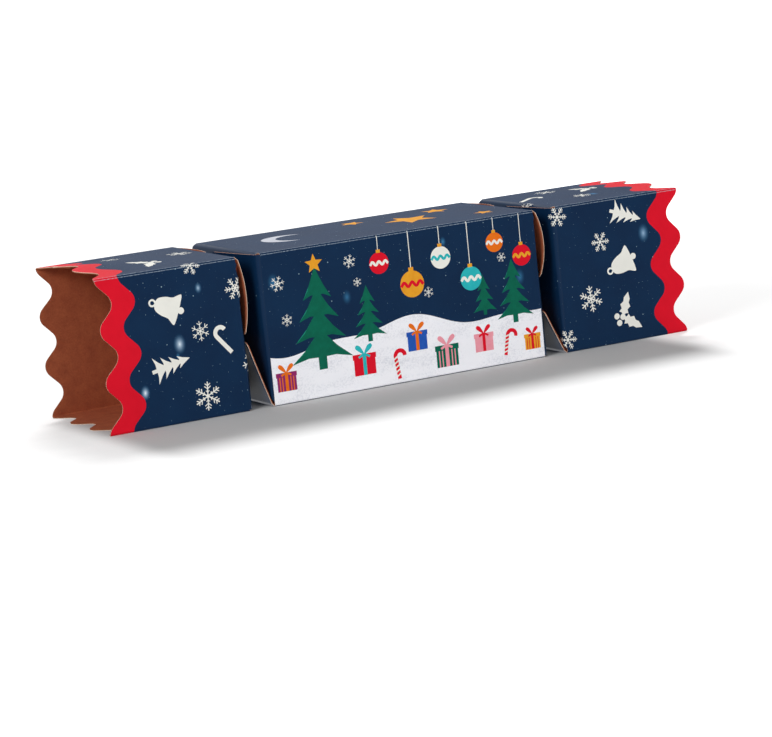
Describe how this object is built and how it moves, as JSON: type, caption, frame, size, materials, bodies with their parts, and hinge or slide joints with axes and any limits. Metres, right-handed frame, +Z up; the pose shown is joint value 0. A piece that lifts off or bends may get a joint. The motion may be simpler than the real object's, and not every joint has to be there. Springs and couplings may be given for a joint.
{
  "type": "christmas cracker",
  "caption": "Folded board christmas cracker: a square treat box between two open scalloped ends, joined by drawn-in necks of folded flaps that open as an end is pulled.",
  "frame": {"origin": "centre of the underside, on the surface that the cracker stands on", "axes": "+X along the cracker towards the right end, +Y to the back, +Z up"},
  "size_m": [0.303, 0.07, 0.07],
  "materials": {
    "centre_print": "satin printed solid board, navy night sky over white snow",
    "end_print": "satin printed solid board, navy with white flakes and a red scalloped band",
    "neck_print": "satin printed solid board, navy, with bare kraft inside",
    "kraft_seam": "bare kraft board"
  },
  "bodies": {
    "centre": {"centre_front_panel": "centre_print", "centre_top_panel": "centre_print", "centre_back_panel": "centre_print", "centre_bottom_panel": "centre_print", "centre_glue_flap": "kraft_seam"},
    "left_end": {"left_end_front_panel": "end_print", "left_end_top_panel": "end_print", "left_end_back_panel": "end_print", "left_end_bottom_panel": "end_print", "left_end_glue_flap": "kraft_seam"},
    "right_end": {"right_end_front_panel": "end_print", "right_end_top_panel": "end_print", "right_end_back_panel": "end_print", "right_end_bottom_panel": "end_print", "right_end_glue_flap": "kraft_seam"},
    "left_neck_centre_front_flap": {"left_neck_centre_front_flap": "neck_print"},
    "left_neck_centre_top_flap": {"left_neck_centre_top_flap": "neck_print"},
    "left_neck_centre_back_flap": {"left_neck_centre_back_flap": "neck_print"},
    "left_neck_centre_bottom_flap": {"left_neck_centre_bottom_flap": "neck_print"},
    "left_neck_end_front_flap": {"left_neck_end_front_flap": "neck_print"},
    "left_neck_end_top_flap": {"left_neck_end_top_flap": "neck_print"},
    "left_neck_end_back_flap": {"left_neck_end_back_flap": "neck_print"},
    "left_neck_end_bottom_flap": {"left_neck_end_bottom_flap": "neck_print"},
    "right_neck_centre_front_flap": {"right_neck_centre_front_flap": "neck_print"},
    "right_neck_centre_top_flap": {"right_neck_centre_top_flap": "neck_print"},
    "right_neck_centre_back_flap": {"right_neck_centre_back_flap": "neck_print"},
    "right_neck_centre_bottom_flap": {"right_neck_centre_bottom_flap": "neck_print"},
    "right_neck_end_front_flap": {"right_neck_end_front_flap": "neck_print"},
    "right_neck_end_top_flap": {"right_neck_end_top_flap": "neck_print"},
    "right_neck_end_back_flap": {"right_neck_end_back_flap": "neck_print"},
    "right_neck_end_bottom_flap": {"right_neck_end_bottom_flap": "neck_print"}
  },
  "joints": [
    {"name": "left_end_pull", "type": "slide", "parent": "centre", "child": "left_end", "axis": [-1, 0, 0], "range_m": [0, 0.093]},
    {"name": "right_end_pull", "type": "slide", "parent": "centre", "child": "right_end", "axis": [1, 0, 0], "range_m": [0, 0.093]},
    {"name": "left_neck_centre_front_crease", "type": "hinge", "parent": "centre", "child": "left_neck_centre_front_flap", "pos_m": [-0.0715, -0.0347, 0.035], "axis": [0, 0, 1], "range_deg": [0, 79.99]},
    {"name": "left_neck_centre_top_crease", "type": "hinge", "parent": "centre", "child": "left_neck_centre_top_flap", "pos_m": [-0.0715, 0, 0.0697], "axis": [0, 1, 0], "range_deg": [0, 79.99]},
    {"name": "left_neck_centre_back_crease", "type": "hinge", "parent": "centre", "child": "left_neck_centre_back_flap", "pos_m": [-0.0715, 0.0347, 0.035], "axis": [0, 0, -1], "range_deg": [0, 79.99]},
    {"name": "left_neck_centre_bottom_crease", "type": "hinge", "parent": "centre", "child": "left_neck_centre_bottom_flap", "pos_m": [-0.0715, 0, 0.0003], "axis": [0, -1, 0], "range_deg": [0, 79.99]},
    {"name": "left_neck_end_front_crease", "type": "hinge", "parent": "left_end", "child": "left_neck_end_front_flap", "pos_m": [-0.083, -0.0347, 0.035], "axis": [0, 0, -1], "range_deg": [0, 79.99]},
    {"name": "left_neck_end_top_crease", "type": "hinge", "parent": "left_end", "child": "left_neck_end_top_flap", "pos_m": [-0.083, 0, 0.0697], "axis": [0, -1, 0], "range_deg": [0, 79.99]},
    {"name": "left_neck_end_back_crease", "type": "hinge", "parent": "left_end", "child": "left_neck_end_back_flap", "pos_m": [-0.083, 0.0347, 0.035], "axis": [0, 0, 1], "range_deg": [0, 79.99]},
    {"name": "left_neck_end_bottom_crease", "type": "hinge", "parent": "left_end", "child": "left_neck_end_bottom_flap", "pos_m": [-0.083, 0, 0.0003], "axis": [0, 1, 0], "range_deg": [0, 79.99]},
    {"name": "right_neck_centre_front_crease", "type": "hinge", "parent": "centre", "child": "right_neck_centre_front_flap", "pos_m": [0.0715, -0.0347, 0.035], "axis": [0, 0, -1], "range_deg": [0, 79.99]},
    {"name": "right_neck_centre_top_crease", "type": "hinge", "parent": "centre", "child": "right_neck_centre_top_flap", "pos_m": [0.0715, 0, 0.0697], "axis": [0, -1, 0], "range_deg": [0, 79.99]},
    {"name": "right_neck_centre_back_crease", "type": "hinge", "parent": "centre", "child": "right_neck_centre_back_flap", "pos_m": [0.0715, 0.0347, 0.035], "axis": [0, 0, 1], "range_deg": [0, 79.99]},
    {"name": "right_neck_centre_bottom_crease", "type": "hinge", "parent": "centre", "child": "right_neck_centre_bottom_flap", "pos_m": [0.0715, 0, 0.0003], "axis": [0, 1, 0], "range_deg": [0, 79.99]},
    {"name": "right_neck_end_front_crease", "type": "hinge", "parent": "right_end", "child": "right_neck_end_front_flap", "pos_m": [0.083, -0.0347, 0.035], "axis": [0, 0, 1], "range_deg": [0, 79.99]},
    {"name": "right_neck_end_top_crease", "type": "hinge", "parent": "right_end", "child": "right_neck_end_top_flap", "pos_m": [0.083, 0, 0.0697], "axis": [0, 1, 0], "range_deg": [0, 79.99]},
    {"name": "right_neck_end_back_crease", "type": "hinge", "parent": "right_end", "child": "right_neck_end_back_flap", "pos_m": [0.083, 0.0347, 0.035], "axis": [0, 0, -1], "range_deg": [0, 79.99]},
    {"name": "right_neck_end_bottom_crease", "type": "hinge", "parent": "right_end", "child": "right_neck_end_bottom_flap", "pos_m": [0.083, 0, 0.0003], "axis": [0, -1, 0], "range_deg": [0, 79.99]}
  ],
  "couplings": [
    {"joint": "left_neck_centre_front_crease", "follows": "left_end_pull", "rad_per_m": 15},
    {"joint": "left_neck_centre_top_crease", "follows": "left_end_pull", "rad_per_m": 15},
    {"joint": "left_neck_centre_back_crease", "follows": "left_end_pull", "rad_per_m": 15},
    {"joint": "left_neck_centre_bottom_crease", "follows": "left_end_pull", "rad_per_m": 15},
    {"joint": "left_neck_end_front_crease", "follows": "left_end_pull", "rad_per_m": 15},
    {"joint": "left_neck_end_top_crease", "follows": "left_end_pull", "rad_per_m": 15},
    {"joint": "left_neck_end_back_crease", "follows": "left_end_pull", "rad_per_m": 15},
    {"joint": "left_neck_end_bottom_crease", "follows": "left_end_pull", "rad_per_m": 15},
    {"joint": "right_neck_centre_front_crease", "follows": "right_end_pull", "rad_per_m": 15},
    {"joint": "right_neck_centre_top_crease", "follows": "right_end_pull", "rad_per_m": 15},
    {"joint": "right_neck_centre_back_crease", "follows": "right_end_pull", "rad_per_m": 15},
    {"joint": "right_neck_centre_bottom_crease", "follows": "right_end_pull", "rad_per_m": 15},
    {"joint": "right_neck_end_front_crease", "follows": "right_end_pull", "rad_per_m": 15},
    {"joint": "right_neck_end_top_crease", "follows": "right_end_pull", "rad_per_m": 15},
    {"joint": "right_neck_end_back_crease", "follows": "right_end_pull", "rad_per_m": 15},
    {"joint": "right_neck_end_bottom_crease", "follows": "right_end_pull", "rad_per_m": 15}
  ]
}
